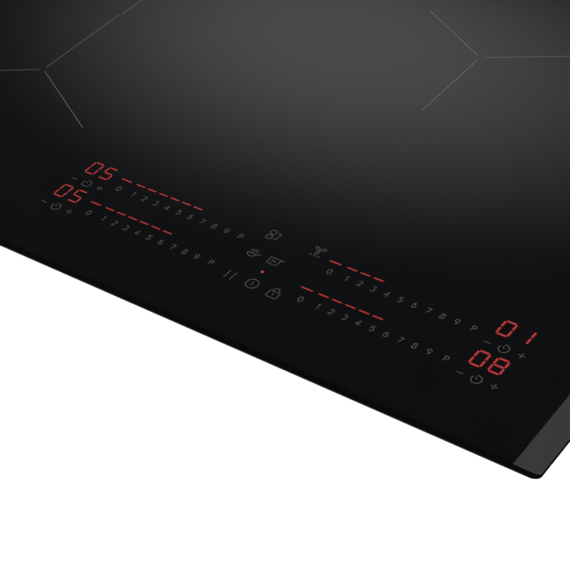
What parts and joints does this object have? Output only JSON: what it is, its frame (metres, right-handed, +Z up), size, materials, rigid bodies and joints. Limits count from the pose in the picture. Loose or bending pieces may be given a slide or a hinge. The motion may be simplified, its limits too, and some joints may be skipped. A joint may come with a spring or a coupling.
{
  "type": "induction hob",
  "caption": "Built-in black glass induction hob with satin side strips, touch sliders, red displays and a ventilated steel casing.",
  "frame": {"origin": "centre of the casing's underside", "axes": "+X to the cook's right, +Y to the back, +Z up"},
  "size_m": [0.78, 0.52, 0.0502],
  "materials": {
    "black_glass": "polished black glass ceramic",
    "satin_steel": "satin, faintly brushed along its length",
    "print_grey": "matt ceramic print",
    "seal_foam": "fine closed-cell foam",
    "silicone_black": "satin silicone",
    "zinc_steel": "zinc-coated sheet with faint spangle",
    "screw_steel": "bright zinc",
    "mica": "flaky mica board",
    "nylon_natural": "moulded nylon",
    "board_green": "solder-masked board",
    "epoxy_black": "moulded epoxy",
    "capacitor_blue": "boxed film capacitor",
    "choke_winding": "enamelled wire",
    "plastic_black": "fine spark-eroded grain",
    "plastic_grey": "fine grain",
    "display_red": "lit red segment behind dark glass",
    "spring_steel": "bright wire",
    "ribbon_grey": "flat ribbon",
    "brass_bright": "bright brass",
    "rubber_black": "matt rubber",
    "lamination_steel": "stacked laminations",
    "aluminium_mill": "mill finish",
    "litz_copper": "enamelled litz wire",
    "carrier_plastic": "glass-filled moulding",
    "ferrite": "sintered ferrite",
    "silicone_red": "soft silicone boot"
  },
  "bodies": {
    "root": {"base_plate": "zinc_steel", "board_standoffs": "nylon_natural", "cable_gland": "rubber_black", "casing_walls": "zinc_steel", "chassis_screws": "screw_steel", "circuit_boards": "board_green", "clamp_screws": "screw_steel", "coil_decks": "aluminium_mill", "coil_springs_front_left": "spring_steel", "coil_springs_rear_centre": "spring_steel", "coil_springs_rear_left": "spring_steel", "coil_springs_right": "spring_steel", "control_board": "board_green", "control_carrier": "plastic_black", "cord_clamp": "nylon_natural", "deck_posts": "zinc_steel", "display_modules": "display_red", "fan_housings": "plastic_black", "fan_motors": "lamination_steel", "filter_chokes": "choke_winding", "glass_bond_bead": "silicone_black", "glass_ceramic_top": "black_glass", "heat_sinks": "aluminium_mill", "mica_sheets": "mica", "power_transistors": "epoxy_black", "resonance_capacitors": "capacitor_blue", "ribbon_cable": "ribbon_grey", "side_trim_left": "satin_steel", "side_trim_right": "satin_steel", "slider_light_guides": "display_red", "support_frame": "zinc_steel", "terminal_block": "nylon_natural", "terminal_box": "plastic_grey", "terminal_hinge_pin": "spring_steel", "terminal_screws": "brass_bright", "touch_springs": "spring_steel", "worktop_seal": "seal_foam"},
    "coil_unit_front_left": {"coil_winding_front_left": "litz_copper", "coil_carrier_front_left": "carrier_plastic", "coil_ferrites_front_left": "ferrite", "temperature_sensor_front_left": "silicone_red"},
    "coil_unit_rear_left": {"coil_winding_rear_left": "litz_copper", "coil_carrier_rear_left": "carrier_plastic", "coil_ferrites_rear_left": "ferrite", "temperature_sensor_rear_left": "silicone_red"},
    "coil_unit_rear_centre": {"coil_winding_rear_centre": "litz_copper", "coil_carrier_rear_centre": "carrier_plastic", "coil_ferrites_rear_centre": "ferrite", "temperature_sensor_rear_centre": "silicone_red"},
    "coil_unit_right": {"coil_winding_right": "litz_copper", "coil_carrier_right": "carrier_plastic", "coil_ferrites_right": "ferrite", "temperature_sensor_right": "silicone_red"},
    "fan_wheel_left": {"fan_impeller_left": "plastic_black"},
    "fan_wheel_right": {"fan_impeller_right": "plastic_black"},
    "clamp_front_left": {"worktop_clamp_front_left": "zinc_steel"},
    "clamp_front_right": {"worktop_clamp_front_right": "zinc_steel"},
    "clamp_rear_left": {"worktop_clamp_rear_left": "zinc_steel"},
    "clamp_rear_right": {"worktop_clamp_rear_right": "zinc_steel"},
    "terminal_lid": {"terminal_cover": "plastic_black"}
  },
  "joints": [
    {"name": "coil_float_front_left", "type": "slide", "parent": "root", "child": "coil_unit_front_left", "axis": [0, 0, 1], "range_m": [-0.002, 0], "stiffness_N_per_m": 8000, "springref_m": 0.003, "deforming": ["coil_springs_front_left"]},
    {"name": "coil_float_rear_left", "type": "slide", "parent": "root", "child": "coil_unit_rear_left", "axis": [0, 0, 1], "range_m": [-0.002, 0], "stiffness_N_per_m": 8000, "springref_m": 0.003, "deforming": ["coil_springs_rear_left"]},
    {"name": "coil_float_rear_centre", "type": "slide", "parent": "root", "child": "coil_unit_rear_centre", "axis": [0, 0, 1], "range_m": [-0.002, 0], "stiffness_N_per_m": 8000, "springref_m": 0.003, "deforming": ["coil_springs_rear_centre"]},
    {"name": "coil_float_right", "type": "slide", "parent": "root", "child": "coil_unit_right", "axis": [0, 0, 1], "range_m": [-0.002, 0], "stiffness_N_per_m": 8000, "springref_m": 0.003, "deforming": ["coil_springs_right"]},
    {"name": "fan_spin_left", "type": "hinge", "parent": "root", "child": "fan_wheel_left", "pos_m": [-0.078, 0.035, 0.01], "axis": [0, 0, 1], "continuous": true},
    {"name": "fan_spin_right", "type": "hinge", "parent": "root", "child": "fan_wheel_right", "pos_m": [0.006, -0.015, 0.01], "axis": [0, 0, 1], "continuous": true},
    {"name": "clamp_swing_front_left", "type": "hinge", "parent": "root", "child": "clamp_front_left", "pos_m": [-0.364, -0.165, 0.01], "axis": [0, 0, 1], "range_deg": [0, 90]},
    {"name": "clamp_swing_front_right", "type": "hinge", "parent": "root", "child": "clamp_front_right", "pos_m": [0.364, -0.165, 0.01], "axis": [0, 0, -1], "range_deg": [0, 90]},
    {"name": "clamp_swing_rear_left", "type": "hinge", "parent": "root", "child": "clamp_rear_left", "pos_m": [-0.364, 0.165, 0.01], "axis": [0, 0, -1], "range_deg": [0, 90]},
    {"name": "clamp_swing_rear_right", "type": "hinge", "parent": "root", "child": "clamp_rear_right", "pos_m": [0.364, 0.165, 0.01], "axis": [0, 0, 1], "range_deg": [0, 90]},
    {"name": "terminal_lid_hinge", "type": "hinge", "parent": "root", "child": "terminal_lid", "pos_m": [0.247, 0.1374, 0.0023], "axis": [-1, 0, 0], "range_deg": [0, 100]}
  ]
}
